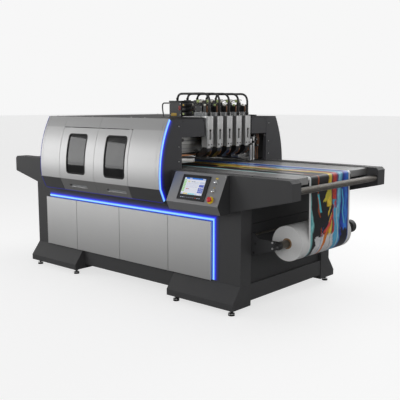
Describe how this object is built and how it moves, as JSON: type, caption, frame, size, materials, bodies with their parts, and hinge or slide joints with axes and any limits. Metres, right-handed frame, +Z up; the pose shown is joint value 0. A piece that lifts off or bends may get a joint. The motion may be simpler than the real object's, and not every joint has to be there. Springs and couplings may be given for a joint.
{
  "type": "flatbed uv printer",
  "caption": "Roll-fed flatbed UV printer: long steel base with side beams, curved silver hood with lift-up doors, a bank of print heads, touch-screen console and web rolls.",
  "frame": {"origin": "on the floor under the middle of the machine", "axes": "+X along the bed towards the roll the web is wound on, +Y from the operator's side to the back, +Z up"},
  "size_m": [2.828, 1.4442, 1.4335],
  "materials": {
    "charcoal_paint": "fine matt powder coat",
    "panel_paint": "matt powder coat",
    "silver_paint": "satin metallic paint",
    "alloy": "anodised",
    "steel": "ground",
    "black_plastic": "matt",
    "light_strip": "lit diffuser",
    "dark_glass": "smoked",
    "chrome": "polished",
    "yellow_plastic": "gloss",
    "red_plastic": "gloss",
    "web": "printed film",
    "paper": "matt film wound on itself",
    "cardboard": "raw spiral-wound board",
    "machine_grey": "satin",
    "tank_plastic": "translucent white"
  },
  "bodies": {
    "root": {"base_frame": "charcoal_paint", "base_shell": "charcoal_paint", "end_panels": "panel_paint", "foot_blocks": "charcoal_paint", "levelling_feet": "black_plastic", "wing_front": "charcoal_paint", "wing_rear": "charcoal_paint", "table_bed": "alloy", "edge_rails": "alloy", "cross_bars": "steel", "led_strips": "light_strip", "hood_skin": "silver_paint", "hood_fascia": "charcoal_paint", "hood_top_cover": "panel_paint", "hood_back_cover": "charcoal_paint", "hood_end_right": "charcoal_paint", "hood_end_left": "charcoal_paint", "beam_cover": "charcoal_paint", "hinge_pins": "steel", "gantry_beam": "alloy", "bank_bracket": "alloy", "head_columns": "alloy", "lift_motors": "black_plastic", "cable_loops": "black_plastic", "terminal_box": "black_plastic", "console_housing": "silver_paint", "touch_screen": "black_plastic", "estop_plate": "yellow_plastic", "media_web": "web", "roll_brackets": "panel_paint", "uv_lamp": "machine_grey", "vacuum_blower": "machine_grey", "control_cabinet": "machine_grey", "ink_tanks": "tank_plastic"},
    "door_1": {"door_1": "silver_paint"},
    "door_2": {"door_2": "silver_paint"},
    "door_3": {"door_3": "silver_paint"},
    "door_4": {"door_4": "silver_paint"},
    "hood_door_1": {"hood_door_1": "silver_paint", "hood_band_1": "charcoal_paint", "hood_window_1": "dark_glass"},
    "hood_door_2": {"hood_door_2": "silver_paint", "hood_band_2": "charcoal_paint", "hood_window_2": "dark_glass"},
    "print_head_1": {"print_head_1": "black_plastic"},
    "print_head_2": {"print_head_2": "black_plastic"},
    "print_head_3": {"print_head_3": "black_plastic"},
    "print_head_4": {"print_head_4": "black_plastic"},
    "print_head_5": {"print_head_5": "black_plastic"},
    "start_button": {"start_button": "chrome"},
    "stop_button": {"stop_button": "chrome"},
    "estop_cap": {"estop_cap": "red_plastic"},
    "rewind": {"rewind_roll": "paper", "rewind_core": "cardboard", "rewind_shaft": "steel"},
    "unwind": {"unwind_roll": "paper", "unwind_core": "cardboard", "unwind_shaft": "steel"},
    "outfeed_roller": {"outfeed_roller": "steel"},
    "infeed_roller": {"infeed_roller": "steel"}
  },
  "joints": [
    {"name": "door_1_swing", "type": "hinge", "parent": "root", "child": "door_1", "pos_m": [-1.0255, -0.556, 0.39], "axis": [0, 0, -1], "range_deg": [0, 105]},
    {"name": "door_2_swing", "type": "hinge", "parent": "root", "child": "door_2", "pos_m": [-0.6305, -0.556, 0.39], "axis": [0, 0, -1], "range_deg": [0, 105]},
    {"name": "door_3_swing", "type": "hinge", "parent": "root", "child": "door_3", "pos_m": [0.3695, -0.556, 0.39], "axis": [0, 0, 1], "range_deg": [0, 105]},
    {"name": "door_4_swing", "type": "hinge", "parent": "root", "child": "door_4", "pos_m": [0.7645, -0.556, 0.39], "axis": [0, 0, 1], "range_deg": [0, 105]},
    {"name": "hood_door_1_lift", "type": "hinge", "parent": "root", "child": "hood_door_1", "pos_m": [0, -0.64958, 1.15208], "axis": [-1, 0, 0], "range_deg": [0, 75]},
    {"name": "hood_door_2_lift", "type": "hinge", "parent": "root", "child": "hood_door_2", "pos_m": [0, -0.64958, 1.15208], "axis": [-1, 0, 0], "range_deg": [0, 75]},
    {"name": "head_1_lift", "type": "slide", "parent": "root", "child": "print_head_1", "axis": [0, 0, 1], "range_m": [-0.055, 0]},
    {"name": "head_2_lift", "type": "slide", "parent": "root", "child": "print_head_2", "axis": [0, 0, 1], "range_m": [-0.055, 0]},
    {"name": "head_3_lift", "type": "slide", "parent": "root", "child": "print_head_3", "axis": [0, 0, 1], "range_m": [-0.055, 0]},
    {"name": "head_4_lift", "type": "slide", "parent": "root", "child": "print_head_4", "axis": [0, 0, 1], "range_m": [-0.055, 0]},
    {"name": "head_5_lift", "type": "slide", "parent": "root", "child": "print_head_5", "axis": [0, 0, 1], "range_m": [-0.055, 0]},
    {"name": "start_button_press", "type": "slide", "parent": "root", "child": "start_button", "axis": [0, 0.8944, -0.4472], "range_m": [0, 0.004], "stiffness_N_per_m": 600},
    {"name": "stop_button_press", "type": "slide", "parent": "root", "child": "stop_button", "axis": [0, 0.8944, -0.4472], "range_m": [0, 0.004], "stiffness_N_per_m": 600},
    {"name": "estop_press", "type": "slide", "parent": "root", "child": "estop_cap", "axis": [0, 0.8944, -0.4472], "range_m": [0, 0.006], "stiffness_N_per_m": 1500},
    {"name": "rewind_turn", "type": "hinge", "parent": "root", "child": "rewind", "pos_m": [1.22, 0, 0.472], "axis": [0, 1, 0], "continuous": true},
    {"name": "unwind_turn", "type": "hinge", "parent": "root", "child": "unwind", "pos_m": [-1.259, 0, 0.472], "axis": [0, 1, 0], "continuous": true},
    {"name": "outfeed_roller_turn", "type": "hinge", "parent": "root", "child": "outfeed_roller", "pos_m": [1.307, 0, 0.88], "axis": [0, 1, 0], "continuous": true},
    {"name": "infeed_roller_turn", "type": "hinge", "parent": "root", "child": "infeed_roller", "pos_m": [-1.307, 0, 0.88], "axis": [0, 1, 0], "continuous": true}
  ],
  "couplings": [
    {"joint": "unwind_turn", "follows": "rewind_turn", "ratio": 1.6765},
    {"joint": "outfeed_roller_turn", "follows": "rewind_turn", "ratio": 5.7},
    {"joint": "infeed_roller_turn", "follows": "rewind_turn", "ratio": 5.7}
  ]
}
